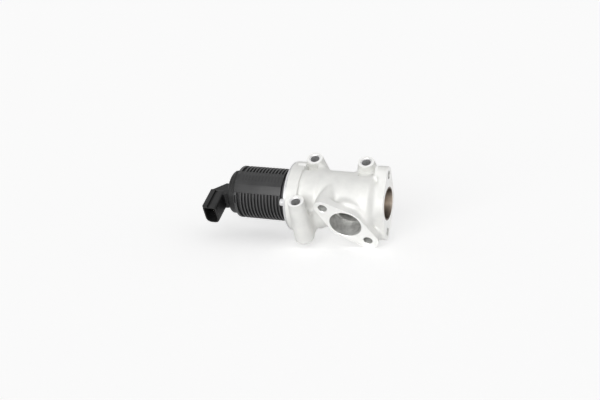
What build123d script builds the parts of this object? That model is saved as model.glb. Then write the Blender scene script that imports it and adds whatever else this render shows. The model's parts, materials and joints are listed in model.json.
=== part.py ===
from build123d import *
from math import cos, radians, sin, tan
import os

os.makedirs("parts", exist_ok=True)

# Electric exhaust gas recirculation valve.
# X is the valve axis. The origin is the centre of the round gas outlet, on its flange face.
# The inlet port and the mounting columns are square to each other and to X, and turned
# about X by cast_turn, as the valve lies on a bench.
cast_turn = 32.3
port_dir = Vector(0, -cos(radians(cast_turn)), -sin(radians(cast_turn)))
bolt_dir = Vector(0, -sin(radians(cast_turn)), cos(radians(cast_turn)))

# Running clearance of a sliding piece, measured on the radius
slide_fit = 0.08

# Gap between the poppet and its seat, and the clearance of holes that a moving piece passes
seat_gap = 0.15
pass_clearance = 0.7

# Small edge break on turned pieces
edge_break = 0.8

# Outlet flange and barrel of the casting
outlet_plate_r = 20.7
outlet_plate_t = 8.0
outlet_lug_r = 8.0
outlet_lug_t = 12.5
outlet_hole_offset = 26.9
outlet_hole_r = 4.0
outlet_hole_depth = 11.0
barrel_r = 26.6
barrel_taper = 5.0
rear_block_r = 29.0
rear_block_length = 27.1
rear_block_cone = 3.0
joint_flange_margin = 0.5
joint_flange_t = 11.0
joint_flange_edge = 1.0
joint_x = -89.1

# Inlet port, along port_dir
port_x = -33.0
port_face = 31.2
port_bore_r = 14.9
port_bore_depth = 17.0
passage_r = 12.6
port_wall = 5.8
port_plate_t = 7.5
port_rim = 2.5
upper_lug_r = 8.4
lower_lug_r = 10.2
port_hole_offset = 26.5
port_hole_angle = 45.0
port_hole_r = 4.25
port_hole_depth = 18.0
lug_boss_root_r = 5.5
lug_boss_length = 21.0
lug_boss_lean = 3.2
lug_boss_spread = 1.8

# Three mounting columns, along bolt_dir
column_joint_gap = 16.6
column_pitch_x = 50.0
column_pitch_port = 60.0
rear_column_port = -22.0
rear_column_top = 30.0
rear_column_r = 7.75
front_column_top = 33.0
front_column_r = 7.4
front_column_foot_r = 9.8
column_foot = -15.0
column_flare = 11.0
flare_start = 6.0
bolt_clearance_r = 4.25
bush_r = 5.45
bush_length = 14.0
bush_recess = 1.0
web_top = 11.0
web_root = 14.0
web_r = 9.5
window_width = 10.0
window_height = 6.2
window_rim = 1.4
window_wall = 1.2

# Valve seat sleeve, stem and poppet
sleeve_wall = 1.2
outlet_bore_r = 14.4
sleeve_length = 17.5
seat_land = 4.0
seat_bore_r = 10.5
seat_chamfer = 1.6
chamber_r = 14.0
chamber_rear_x = -47.0
poppet_rim = 1.2
poppet_back = 3.5
poppet_hub = 1.2
poppet_land = 0.2
stem_r = 2.5
stem_tip = 1.0

# Stem bush and its deflector
bush_bore_rear_x = -62.0
stem_bush_r = 6.0
deflector_r = 9.0
deflector_depth = 4.0
deflector_wall = 1.0
deflector_clearance = 0.6

# Spring chamber
spring_chamber_r = 15.5
spring_wire_r = 0.8
spring_mean_r = 7.4
spring_turns = 5.0
keeper_r = 10.0
keeper_t = 3.0
keeper_gap = 2.0
keeper_nose = 2.0
keeper_nose_taper = 0.3
keeper_edge = 1.0
spring_clearance = 0.3

# Steel base plate and its screws
base_plate_t = 2.5
base_plate_edge = 0.6
screw_count = 3
screw_edge = 3.7
screw_head_gap = 0.5
screw_r = 2.0
screw_head_r = 3.4
screw_head_t = 3.4
screw_depth = 8.0
socket_r = 1.5
socket_depth = 1.8
seal_groove_r = 18.0
seal_width = 2.2
seal_depth = 2.0
seal_corner = 0.7

# Solenoid
pole_core_r = 12.0
pole_nose_length = 7.0
pole_washer_t = 3.4
pole_spigot = 5.0
yoke_wall = 2.2
winding_depth = 6.8
coil_length = 39.0
guide_r = 9.0
guide_wall = 0.8
bobbin_wall = 1.2
bobbin_flange_t = 1.6
winding_gap = 1.2
rear_washer_t = 2.8
armature_length = 23.5
armature_gap = 6.5
stem_grip = 16.0

# Moulded coil housing
housing_wall = 2.3
fin_height = 2.2
fin_count = 15
fin_width = 1.5
fin_start = 2.6
spine_height = 2.6
spine_angles = (63.0, 29.4, 10.0)
spine_front_gap = 5.5
spine_tail = 2.6

# Moulded connector cover and position sensor
cover_inset = 2.1
cover_offset = 1.4
cover_edge = 1.3
cover_length = 8.0
sensor_room_r = 11.0
sensor_room_depth = 6.4
sensor_room_wall = 2.0
sensor_room_front = 5.7
cover_seal_r = 14.5
plunger_r = 2.0
plunger_length = 17.0
carrier_t = 2.4
carrier_side = 8.0
wiper_t = 1.2
wiper_width = 3.0
wiper_gap = 0.3
track_t = 1.0
track_width = 11.0
track_offset = 7.6
connector_turn = 30.0
hood_offset = 20.5
hood_end = 36.0
hood_start = 12.0
hood_width = 14.0
hood_height = 20.0
hood_corner = 5.2
hood_top_corner = 2.2
hood_wall = 1.5
hood_depth = 19.0
neck_half = 9.2
neck_rear_gap = 7.5
neck_shoulder = 1.5
neck_overlap = 4.0
neck_front_overlap = 2.0
pin_count = 5
pin_pitch = 2.6
pin_width = 0.8
pin_root = 3.0
pin_tip_gap = 6.0
rail_width = 5.0
rail_height = 1.2
rail_margin = 0.2
groove_width = 2.2
groove_depth = 0.7
latch_width = 4.5
latch_height = 1.5
latch_length = 4.0
latch_root = 0.5
carrier_corner = 1.0

connector_dir = Vector(0, -cos(radians(connector_turn)), -sin(radians(connector_turn)))
connector_up = Vector(0, -sin(radians(connector_turn)), cos(radians(connector_turn)))
barrel_side = port_face - port_plate_t
port_plate_r = port_bore_r + port_rim
rear_block_front_x = joint_x + rear_block_length
column_x = joint_x + column_joint_gap
plate_rear_x = joint_x - base_plate_t
coil_front_x = plate_rear_x - pole_washer_t
coil_rear_x = coil_front_x - coil_length
bobbin_core_r = guide_r + bobbin_wall
winding_r = bobbin_core_r + winding_depth
yoke_inner_r = winding_r + winding_gap
yoke_outer_r = yoke_inner_r + yoke_wall
housing_core_r = yoke_outer_r + housing_wall
fin_r = housing_core_r + fin_height
screw_circle_r = fin_r + screw_head_gap + screw_head_r
base_plate_r = screw_circle_r + screw_edge
joint_flange_r = base_plate_r + joint_flange_margin
spine_r = housing_core_r + spine_height
yoke_rear_x = coil_rear_x - rear_washer_t
room_front_x = yoke_rear_x - sensor_room_wall
housing_rear_x = room_front_x - sensor_room_front
cover_r = housing_core_r - cover_inset
cover_rear_x = housing_rear_x - cover_length
hood_x = housing_rear_x - hood_offset
nose_x = coil_front_x - pole_nose_length
armature_front_x = nose_x - armature_gap
armature_rear_x = armature_front_x - armature_length
guide_inner_r = guide_r - guide_wall
armature_r = guide_inner_r - slide_fit
seat_x = -sleeve_length + seat_land
poppet_r = seat_bore_r + seat_chamfer - 2 * seat_gap
keeper_rear_x = joint_x + pole_spigot + keeper_gap
rear_column_places = [column_x, column_x + column_pitch_x]
front_column_port = rear_column_port + column_pitch_port


def port_plane(distance):
    """Plane square to the port: local x is X from the port axis, local y is bolt_dir."""
    return Plane(origin=Vector(port_x, 0, 0) + port_dir * distance, x_dir=(1, 0, 0), z_dir=port_dir)


def bolt_plane(height):
    """Plane square to the mounting bolts: local x is X, local y runs against port_dir."""
    return Plane(origin=bolt_dir * height, x_dir=(1, 0, 0), z_dir=bolt_dir)


def connector_plane(distance):
    """Plane square to the connector: local x is X, local y is connector_up."""
    return Plane(origin=connector_dir * distance, x_dir=(1, 0, 0), z_dir=connector_dir)


def turned(points):
    """A turned piece from its half section, given as (x, radius) points."""
    with BuildPart() as piece:
        with BuildSketch(Plane.XZ):
            with BuildLine():
                Polyline(*points, close=True)
            make_face()
        revolve(axis=Axis.X)
    return piece.part


def save(name, solid):
    """Label one finished piece and write its file."""
    solid.label = name
    export_step(solid, "parts/" + name + ".step")


def hood_section(inset):
    """Outline of the connector hood, moved inwards by inset: square above and round below."""
    width = hood_width - 2 * inset
    with Locations((hood_x, 0)):
        RectangleRounded(width, hood_height - 2 * inset, hood_corner - inset)
    with Locations((hood_x, hood_height / 2 - inset)):
        RectangleRounded(width, hood_height / 2, hood_top_corner - inset, align=(Align.CENTER, Align.MAX))


hole_x = port_hole_offset * cos(radians(port_hole_angle))
hole_y = port_hole_offset * sin(radians(port_hole_angle))
port_lugs = [(-hole_x, hole_y, upper_lug_r), (hole_x, -hole_y, lower_lug_r)]
port_holes = [(x, y) for x, y, radius in port_lugs]
columns = [(x, -rear_column_port, rear_column_r, rear_column_r, rear_column_top) for x in rear_column_places]
columns.append((column_x, -front_column_port, front_column_r, front_column_foot_r, front_column_top))
front_column_draft = (front_column_foot_r - front_column_r) / (front_column_top - column_foot)
web_column_r = front_column_foot_r - front_column_draft * (web_top - column_foot)

# Cast aluminium body: barrel, two gas flanges, joint flange and three bolt columns
with BuildPart() as valve_body:
    with BuildSketch(Plane.XZ):
        with BuildLine():
            Polyline(
                (joint_x, 0),
                (joint_x, joint_flange_r - joint_flange_edge),
                (joint_x + joint_flange_edge, joint_flange_r),
                (joint_x + joint_flange_t, joint_flange_r),
                (joint_x + joint_flange_t, rear_block_r),
                (rear_block_front_x, rear_block_r),
                (rear_block_front_x + rear_block_cone, barrel_r),
                (-outlet_plate_t - barrel_taper, barrel_r),
                (-outlet_plate_t, outlet_plate_r),
                (0, outlet_plate_r),
                (0, 0),
                close=True,
            )
        make_face()
    revolve(axis=Axis.X)
    with BuildSketch(Plane.YZ):
        Circle(outlet_plate_r)
        with Locations((0, outlet_hole_offset), (0, -outlet_hole_offset)):
            Circle(outlet_lug_r)
        make_hull()
    extrude(amount=-outlet_plate_t)
    with BuildSketch(Plane.YZ):
        with Locations((0, outlet_hole_offset), (0, -outlet_hole_offset)):
            Circle(outlet_lug_r)
    extrude(amount=-outlet_lug_t)
    with BuildSketch(port_plane(0)):
        Circle(port_bore_r + port_wall)
    extrude(amount=barrel_side)
    for x, y, radius in port_lugs:
        side = x / abs(x)
        with BuildSketch(port_plane(barrel_side - lug_boss_length)):
            with Locations((x - side * lug_boss_lean, y - side * lug_boss_spread)):
                Circle(lug_boss_root_r)
        with BuildSketch(port_plane(barrel_side)):
            with Locations((x, y)):
                Circle(radius)
        loft()
    with BuildSketch(port_plane(barrel_side)):
        Circle(port_plate_r)
        for x, y, radius in port_lugs:
            with Locations((x, y)):
                Circle(radius)
        make_hull()
    extrude(amount=port_plate_t)
    for x, y, radius, foot_radius, top in columns:
        with BuildSketch(bolt_plane(column_foot)):
            with Locations((x, y)):
                Circle(foot_radius)
        with BuildSketch(bolt_plane(top)):
            with Locations((x, y)):
                Circle(radius)
        loft()
    for x in rear_column_places:
        with BuildSketch(bolt_plane(flare_start)):
            with Locations((x, -rear_column_port)):
                Circle(rear_column_r + (rear_column_top - flare_start) * tan(radians(column_flare)))
        extrude(amount=rear_column_top - flare_start, taper=column_flare)
    with BuildSketch(bolt_plane(column_foot)):
        with Locations((column_x, -front_column_port)):
            Circle(web_column_r)
        with Locations((column_x, -web_root)):
            Circle(web_r)
        make_hull()
    extrude(amount=web_top - column_foot)
    # Gas way, stem bore and spring chamber
    with BuildSketch(Plane.XZ):
        with BuildLine():
            Polyline(
                (0, 0),
                (0, outlet_bore_r + sleeve_wall),
                (-sleeve_length, outlet_bore_r + sleeve_wall),
                (-sleeve_length, chamber_r),
                (chamber_rear_x, chamber_r),
                (chamber_rear_x, stem_bush_r),
                (bush_bore_rear_x, stem_bush_r),
                (bush_bore_rear_x, spring_chamber_r),
                (joint_x, spring_chamber_r),
                (joint_x, 0),
                close=True,
            )
        make_face()
    revolve(axis=Axis.X, mode=Mode.SUBTRACT)
    with BuildSketch(port_plane(port_face)):
        Circle(port_bore_r)
    extrude(amount=-port_bore_depth, mode=Mode.SUBTRACT)
    with BuildSketch(port_plane(port_face)):
        Circle(passage_r)
    extrude(amount=-port_face, mode=Mode.SUBTRACT)
    with BuildSketch(port_plane(port_face)):
        with Locations(*port_holes):
            Circle(port_hole_r)
    extrude(amount=-port_hole_depth, mode=Mode.SUBTRACT)
    with BuildSketch(Plane.YZ):
        with Locations((0, outlet_hole_offset), (0, -outlet_hole_offset)):
            Circle(outlet_hole_r)
    extrude(amount=-outlet_hole_depth, mode=Mode.SUBTRACT)
    # Bolt holes with a wider seat for the steel bush
    for x, y, radius, foot_radius, top in columns:
        with BuildSketch(bolt_plane(column_foot)):
            with Locations((x, y)):
                Circle(bolt_clearance_r)
        extrude(amount=top - column_foot, mode=Mode.SUBTRACT)
        with BuildSketch(bolt_plane(top)):
            with Locations((x, y)):
                Circle(bush_r)
        extrude(amount=-bush_recess - bush_length, mode=Mode.SUBTRACT)
    # Cored window under the rim of each rear column
    for x in rear_column_places:
        with BuildSketch(bolt_plane(rear_column_top - window_rim)):
            with Locations((x, -rear_column_port - bush_r - window_wall)):
                Rectangle(window_width, rear_column_r, align=(Align.CENTER, Align.MAX))
        extrude(amount=-window_height, mode=Mode.SUBTRACT)
    # Tapped holes for the base plate screws, and the face groove for the seal
    with BuildSketch(Plane.YZ.offset(joint_x)):
        with PolarLocations(screw_circle_r, screw_count, start_angle=180):
            Circle(screw_r)
    extrude(amount=screw_depth, mode=Mode.SUBTRACT)
    with BuildSketch(Plane.YZ.offset(joint_x)):
        Circle(seal_groove_r + seal_width)
        Circle(seal_groove_r, mode=Mode.SUBTRACT)
    extrude(amount=seal_depth, mode=Mode.SUBTRACT)
save("valve_body", valve_body.part)

# Stainless seat sleeve, pressed into the outlet bore, with a conical seat at its inner end
with BuildPart() as seat_sleeve:
    with BuildSketch(Plane.XZ):
        with BuildLine():
            Polyline(
                (0, outlet_bore_r + sleeve_wall),
                (-sleeve_length, outlet_bore_r + sleeve_wall),
                (-sleeve_length, seat_bore_r),
                (seat_x - seat_chamfer, seat_bore_r),
                (seat_x, seat_bore_r + seat_chamfer),
                (seat_x, outlet_bore_r),
                (0, outlet_bore_r),
                close=True,
            )
        make_face()
    revolve(axis=Axis.X)
save("seat_sleeve", seat_sleeve.part)

# Steel bushes in the three bolt columns
with BuildPart() as column_bushes:
    for x, y, radius, foot_radius, top in columns:
        with BuildSketch(bolt_plane(top - bush_recess)):
            with Locations((x, y)):
                Circle(bush_r)
                Circle(bolt_clearance_r, mode=Mode.SUBTRACT)
        extrude(amount=-bush_length)
save("column_bushes", column_bushes.part)

# Stem bush, with its deflector cup in the gas chamber
stem_bore_r = stem_r + slide_fit
save("stem_bush", turned([
    (chamber_rear_x, stem_bush_r),
    (bush_bore_rear_x, stem_bush_r),
    (bush_bore_rear_x, stem_bore_r),
    (chamber_rear_x, stem_bore_r),
]))
deflector_front_x = chamber_rear_x + deflector_depth
save("deflector_cup", turned([
    (chamber_rear_x, stem_r + deflector_clearance),
    (chamber_rear_x, deflector_r),
    (deflector_front_x, deflector_r),
    (deflector_front_x, deflector_r - deflector_wall),
    (chamber_rear_x + deflector_wall, deflector_r - deflector_wall),
    (chamber_rear_x + deflector_wall, stem_r + deflector_clearance),
]))

# Poppet: a disc with a conical rim that lies just off the seat
poppet_rear_x = seat_x - seat_chamfer + seat_gap
poppet_front_x = seat_x + poppet_rim
save("poppet", turned([
    (poppet_rear_x - poppet_back, stem_r),
    (poppet_rear_x - poppet_back, stem_r + poppet_hub),
    (poppet_rear_x, seat_bore_r - 2 * seat_gap - poppet_land),
    (poppet_rear_x, seat_bore_r - 2 * seat_gap),
    (seat_x, poppet_r - seat_gap),
    (poppet_front_x, poppet_r - seat_gap),
    (poppet_front_x, stem_r),
]))

stem_rear_x = armature_front_x - stem_grip
save("valve_stem", turned([
    (stem_rear_x, 0),
    (stem_rear_x, stem_r),
    (poppet_front_x, stem_r),
    (poppet_front_x + stem_tip, stem_r - stem_tip),
    (poppet_front_x + stem_tip, 0),
]))

# Spring keeper, clipped to the stem, and the return spring that shuts the valve
keeper_front_x = keeper_rear_x + keeper_t
keeper_nose_r = spring_mean_r - spring_wire_r - spring_clearance
save("spring_keeper", turned([
    (keeper_rear_x, stem_r),
    (keeper_rear_x, keeper_r - keeper_edge),
    (keeper_rear_x + keeper_edge, keeper_r),
    (keeper_front_x, keeper_r),
    (keeper_front_x, keeper_nose_r),
    (keeper_front_x + keeper_nose, keeper_nose_r - keeper_nose_taper),
    (keeper_front_x + keeper_nose, stem_r),
]))
spring_length = bush_bore_rear_x - keeper_front_x - 2 * spring_wire_r
with BuildPart() as return_spring:
    with BuildLine():
        coil = Helix(
            pitch=spring_length / spring_turns,
            height=spring_length,
            radius=spring_mean_r,
            center=(keeper_front_x + spring_wire_r, 0, 0),
            direction=(1, 0, 0),
        )
    with BuildSketch(Plane(origin=coil @ 0, z_dir=coil % 0)):
        Circle(spring_wire_r)
    sweep(path=coil, is_frenet=True)
save("return_spring", return_spring.part)

# Steel base plate, its rubber face seal and its screws
with BuildPart() as base_plate:
    add(turned([
        (plate_rear_x, pole_core_r),
        (plate_rear_x, base_plate_r - base_plate_edge),
        (plate_rear_x + base_plate_edge, base_plate_r),
        (joint_x, base_plate_r),
        (joint_x, pole_core_r),
    ]))
    with BuildSketch(Plane.YZ.offset(plate_rear_x)):
        with PolarLocations(screw_circle_r, screw_count, start_angle=180):
            Circle(screw_r)
    extrude(amount=base_plate_t, mode=Mode.SUBTRACT)
save("base_plate", base_plate.part)

with BuildPart() as base_seal:
    with BuildSketch(Plane.XZ):
        with Locations((joint_x + seal_depth / 2, seal_groove_r + seal_width / 2)):
            RectangleRounded(seal_depth, seal_width, seal_corner)
    revolve(axis=Axis.X)
save("base_seal", base_seal.part)

with BuildPart() as base_screws:
    with BuildSketch(Plane.YZ.offset(plate_rear_x)):
        with PolarLocations(screw_circle_r, screw_count, start_angle=180):
            Circle(screw_head_r)
    extrude(amount=-screw_head_t)
    with BuildSketch(Plane.YZ.offset(plate_rear_x - screw_head_t)):
        with PolarLocations(screw_circle_r, screw_count, start_angle=180):
            RegularPolygon(socket_r, 6)
    extrude(amount=socket_depth, mode=Mode.SUBTRACT)
    with BuildSketch(Plane.YZ.offset(plate_rear_x)):
        with PolarLocations(screw_circle_r, screw_count, start_angle=180):
            Circle(screw_r)
    extrude(amount=base_plate_t + screw_depth)
save("base_screws", base_screws.part)

# Solenoid: pole, yoke, guide sleeve, bobbin, winding and rear washer
save("front_pole", turned([
    (joint_x + pole_spigot, stem_r + pass_clearance),
    (joint_x + pole_spigot, pole_core_r),
    (plate_rear_x, pole_core_r),
    (plate_rear_x, yoke_inner_r),
    (coil_front_x, yoke_inner_r),
    (coil_front_x, guide_inner_r),
    (nose_x, guide_inner_r),
    (nose_x, stem_r + pass_clearance),
]))
save("yoke_tube", turned([
    (plate_rear_x, yoke_inner_r),
    (plate_rear_x, yoke_outer_r),
    (yoke_rear_x, yoke_outer_r),
    (yoke_rear_x, yoke_inner_r),
]))
save("rear_washer", turned([
    (coil_rear_x, guide_r),
    (coil_rear_x, yoke_inner_r),
    (yoke_rear_x, yoke_inner_r),
    (yoke_rear_x, guide_r),
]))
save("guide_sleeve", turned([
    (coil_front_x, guide_inner_r),
    (coil_front_x, guide_r),
    (yoke_rear_x, guide_r),
    (yoke_rear_x, guide_inner_r),
]))
save("coil_bobbin", turned([
    (coil_front_x, guide_r),
    (coil_front_x, yoke_inner_r),
    (coil_front_x - bobbin_flange_t, yoke_inner_r),
    (coil_front_x - bobbin_flange_t, bobbin_core_r),
    (coil_rear_x + bobbin_flange_t, bobbin_core_r),
    (coil_rear_x + bobbin_flange_t, yoke_inner_r),
    (coil_rear_x, yoke_inner_r),
    (coil_rear_x, guide_r),
]))
save("coil_winding", turned([
    (coil_front_x - bobbin_flange_t, bobbin_core_r),
    (coil_front_x - bobbin_flange_t, winding_r),
    (coil_rear_x + bobbin_flange_t, winding_r),
    (coil_rear_x + bobbin_flange_t, bobbin_core_r),
]))
save("armature", turned([
    (armature_front_x, stem_r),
    (armature_front_x, armature_r - edge_break),
    (armature_front_x - edge_break, armature_r),
    (armature_rear_x + edge_break, armature_r),
    (armature_rear_x, armature_r - edge_break),
    (armature_rear_x, 0),
    (stem_rear_x, 0),
    (stem_rear_x, stem_r),
]))

# Black moulded coil housing: cooling fins all round, broken by a smooth spine that carries the
# coil's leads
fin_pitch = (plate_rear_x - housing_rear_x - fin_start - fin_width) / (fin_count - 1)
spine_points = [(-spine_r * cos(radians(angle)), spine_r * sin(radians(angle))) for angle in spine_angles]
spine_room = [(2 * x, 2 * y) for x, y in reversed(spine_points)]
with BuildPart() as coil_housing:
    with BuildSketch(Plane.YZ.offset(housing_rear_x)):
        Circle(housing_core_r)
    extrude(amount=plate_rear_x - housing_rear_x)
    for place in range(fin_count):
        with BuildSketch(Plane.YZ.offset(housing_rear_x + place * fin_pitch)):
            Circle(fin_r)
        extrude(amount=fin_width)
    with BuildSketch(Plane.YZ.offset(housing_rear_x)):
        with BuildLine():
            Polyline(*spine_points, *spine_room, close=True)
        make_face()
    extrude(amount=plate_rear_x - housing_rear_x, mode=Mode.SUBTRACT)
    with BuildSketch(Plane.YZ.offset(housing_rear_x)):
        with BuildLine():
            Polyline((0, 0), *spine_points, close=True)
        make_face()
    extrude(amount=plate_rear_x - housing_rear_x - spine_front_gap)
    with BuildSketch(Plane.YZ.offset(plate_rear_x)):
        Circle(yoke_outer_r)
    extrude(amount=yoke_rear_x - plate_rear_x, mode=Mode.SUBTRACT)
    with BuildSketch(Plane.YZ.offset(yoke_rear_x)):
        Circle(guide_inner_r)
    extrude(amount=housing_rear_x - yoke_rear_x, mode=Mode.SUBTRACT)
    with BuildSketch(Plane.YZ.offset(room_front_x)):
        Circle(sensor_room_r)
    extrude(amount=housing_rear_x - room_front_x, mode=Mode.SUBTRACT)
save("coil_housing", coil_housing.part)

# Connector cover: round end cap, neck and five-way connector hood in one moulding. The cap stands
# a little towards the connector, and the spine runs out over it.
neck_rear_x = hood_x - hood_width / 2
cover_centre = connector_dir * cover_offset
with BuildPart() as connector_cover:
    with BuildSketch(Plane.YZ.offset(housing_rear_x)):
        with Locations((cover_centre.Y, cover_centre.Z)):
            Circle(cover_r)
    extrude(amount=cover_edge - cover_length)
    with BuildSketch(Plane.YZ.offset(cover_rear_x + cover_edge)):
        with Locations((cover_centre.Y, cover_centre.Z)):
            Circle(cover_r)
    with BuildSketch(Plane.YZ.offset(cover_rear_x)):
        with Locations((cover_centre.Y, cover_centre.Z)):
            Circle(cover_r - cover_edge)
    loft()
    with BuildSketch(Plane.YZ.offset(housing_rear_x)):
        with BuildLine():
            Polyline((0, 0), *spine_points, close=True)
        make_face()
    extrude(amount=-spine_tail)
    with BuildSketch(Plane(origin=(0, 0, 0), x_dir=(1, 0, 0), z_dir=connector_up)):
        with BuildLine():
            Polyline(
                (cover_rear_x, 0),
                (cover_rear_x - neck_rear_gap, 0),
                (neck_rear_x, -hood_start + neck_shoulder),
                (neck_rear_x, -hood_start - neck_overlap),
                (hood_x + hood_width / 2, -hood_start - neck_overlap),
                (cover_rear_x, -hood_start - neck_front_overlap),
                close=True,
            )
        make_face()
    extrude(amount=neck_half, both=True)
    with BuildSketch(connector_plane(hood_start)):
        hood_section(0)
    extrude(amount=hood_end - hood_start)
    with BuildSketch(connector_plane(hood_end)):
        hood_section(hood_wall)
    extrude(amount=-hood_depth, mode=Mode.SUBTRACT)
    # Pin roots in the hood's floor
    with BuildSketch(connector_plane(hood_end - hood_depth)):
        with Locations((hood_x, 0)):
            with GridLocations(0, pin_pitch, 1, pin_count):
                Rectangle(pin_width, pin_width)
    extrude(amount=-pin_root, mode=Mode.SUBTRACT)
    # Guide rail along the rear edge of the hood with a groove beside it, and the latch ramp below
    rail_x = neck_rear_x + rail_margin
    with BuildSketch(connector_plane(hood_start)):
        with Locations((rail_x, hood_height / 2 - rail_height)):
            Rectangle(rail_width, 2 * rail_height, align=(Align.MIN, Align.MIN))
    extrude(amount=hood_end - hood_start)
    with BuildSketch(connector_plane(hood_start)):
        with Locations((rail_x + rail_width, hood_height / 2 - groove_depth)):
            Rectangle(groove_width, 2 * groove_depth, align=(Align.MIN, Align.MIN))
    extrude(amount=hood_end - hood_start, mode=Mode.SUBTRACT)
    with BuildSketch(Plane(origin=(hood_x, 0, 0), x_dir=connector_dir, z_dir=(1, 0, 0))):
        with BuildLine():
            Polyline(
                (hood_end, hood_height / 2 - latch_root),
                (hood_end, hood_height / 2),
                (hood_end - latch_length, hood_height / 2 + latch_height),
                (hood_end - latch_length, hood_height / 2 - latch_root),
                close=True,
            )
        make_face()
    extrude(amount=latch_width / 2, both=True)
    # Sensor room and the groove for the cover seal
    with BuildSketch(Plane.YZ.offset(housing_rear_x)):
        Circle(sensor_room_r)
    extrude(amount=-sensor_room_depth, mode=Mode.SUBTRACT)
    with BuildSketch(Plane.YZ.offset(housing_rear_x)):
        Circle(cover_seal_r + seal_width)
        Circle(cover_seal_r, mode=Mode.SUBTRACT)
    extrude(amount=-seal_depth, mode=Mode.SUBTRACT)
save("connector_cover", connector_cover.part)

with BuildPart() as connector_pins:
    with BuildSketch(connector_plane(hood_end - hood_depth - pin_root)):
        with Locations((hood_x, 0)):
            with GridLocations(0, pin_pitch, 1, pin_count):
                Rectangle(pin_width, pin_width)
    extrude(amount=hood_depth + pin_root - pin_tip_gap)
save("connector_pins", connector_pins.part)

with BuildPart() as cover_seal:
    with BuildSketch(Plane.XZ):
        with Locations((housing_rear_x - seal_depth / 2, cover_seal_r + seal_width / 2)):
            RectangleRounded(seal_depth, seal_width, seal_corner)
    revolve(axis=Axis.X)
save("cover_seal", cover_seal.part)

# Position sensor: plunger and wiper carrier on the armature, and the fixed track
plunger_rear_x = armature_rear_x - plunger_length
save("sensor_plunger", turned([
    (armature_rear_x, 0),
    (armature_rear_x, plunger_r),
    (plunger_rear_x, plunger_r),
    (plunger_rear_x, 0),
]))

carrier_plane = Plane(origin=(plunger_rear_x, 0, 0), x_dir=connector_up, z_dir=(1, 0, 0))
with BuildPart() as sensor_carrier:
    with BuildSketch(carrier_plane):
        RectangleRounded(carrier_side, carrier_side, carrier_corner)
        Circle(plunger_r, mode=Mode.SUBTRACT)
    extrude(amount=carrier_t)
save("sensor_carrier", sensor_carrier.part)

wiper_height = track_offset - wiper_gap - carrier_side / 2
with BuildPart() as sensor_wiper:
    with BuildSketch(carrier_plane.offset((carrier_t - wiper_t) / 2)):
        with Locations((carrier_side / 2 + wiper_height / 2, 0)):
            Rectangle(wiper_height, wiper_width)
    extrude(amount=wiper_t)
save("sensor_wiper", sensor_wiper.part)

room_end_x = housing_rear_x - sensor_room_depth
track_plane = Plane(origin=(room_end_x, 0, 0), x_dir=connector_up, z_dir=(1, 0, 0))
with BuildPart() as sensor_track:
    with BuildSketch(track_plane):
        with Locations((track_offset + track_t / 2, 0)):
            Rectangle(track_t, track_width)
    extrude(amount=room_front_x - room_end_x)
save("sensor_track", sensor_track.part)
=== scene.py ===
import json
from math import cos, pi, radians, sin

import bmesh
import bpy
import numpy as np
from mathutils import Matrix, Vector


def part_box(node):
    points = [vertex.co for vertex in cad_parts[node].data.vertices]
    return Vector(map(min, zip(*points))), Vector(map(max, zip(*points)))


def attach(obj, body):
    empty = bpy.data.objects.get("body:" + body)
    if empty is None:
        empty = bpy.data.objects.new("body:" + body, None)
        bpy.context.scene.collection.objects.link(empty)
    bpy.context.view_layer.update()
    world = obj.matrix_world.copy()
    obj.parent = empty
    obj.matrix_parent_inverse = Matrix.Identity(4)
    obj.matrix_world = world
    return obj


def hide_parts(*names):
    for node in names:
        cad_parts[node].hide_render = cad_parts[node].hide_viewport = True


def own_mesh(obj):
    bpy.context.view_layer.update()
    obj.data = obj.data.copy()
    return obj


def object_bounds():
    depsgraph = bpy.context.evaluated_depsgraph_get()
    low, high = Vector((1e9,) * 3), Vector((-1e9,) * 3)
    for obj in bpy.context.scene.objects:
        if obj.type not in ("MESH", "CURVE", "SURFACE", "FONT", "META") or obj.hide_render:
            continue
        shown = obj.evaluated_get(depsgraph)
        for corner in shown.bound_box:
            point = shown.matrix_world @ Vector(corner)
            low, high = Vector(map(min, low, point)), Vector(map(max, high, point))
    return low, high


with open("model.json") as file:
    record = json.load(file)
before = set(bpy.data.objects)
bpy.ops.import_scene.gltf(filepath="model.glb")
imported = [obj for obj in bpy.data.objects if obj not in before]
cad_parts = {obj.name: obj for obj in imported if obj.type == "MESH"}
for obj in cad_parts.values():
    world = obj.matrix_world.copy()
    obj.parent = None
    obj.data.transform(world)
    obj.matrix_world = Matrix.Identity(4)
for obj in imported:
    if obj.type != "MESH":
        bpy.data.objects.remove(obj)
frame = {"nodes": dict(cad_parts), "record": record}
cad_box = [list(corner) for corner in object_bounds()]
nodes = frame["nodes"]
mounts = {mount["name"]: mount for mount in frame["record"]["mounts"]}
mm = 0.001

# The camera stands where the photograph was taken from: in front of the valve, to its right and
# a little above it.
view_turn = radians(20.19)
view_height = radians(13.68)
view_distance = 0.9
view_target = Vector((-86.41, 0, -3.91)) * mm
view_lens = 56.84
back = Vector((
    sin(view_turn) * cos(view_height),
    -cos(view_turn) * cos(view_height),
    sin(view_height),
))
camera = bpy.data.objects.new("camera", bpy.data.cameras.new("camera"))
camera.data.lens = view_lens
camera.data.sensor_width = 36
camera.location = view_target + back * view_distance
camera.rotation_mode = "QUATERNION"
camera.rotation_quaternion = (-back).to_track_quat("-Z", "Y")
bpy.context.scene.collection.objects.link(camera)
bpy.context.scene.camera = camera

# The valve lies on a plain white sheet in soft even light, with one wide lamp in front of it and
# one beside it.
floor_level = cad_box[0][2]
floor_half = 12.0
floor_white = 0.93
floor_glow = 0.38
floor_rough = 0.9
sky_level = 0.47
backdrop_level = 1.0
key_strength = 2.9
key_turn = (84, 0, 5)
key_softness = radians(50)
side_strength = 0.05
side_turn = (62, 0, 70)
side_softness = radians(60)


def link(tree, *pairs):
    """Joins sockets of a node tree, two by two."""
    for start, end in pairs:
        tree.links.new(start, end)


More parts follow.
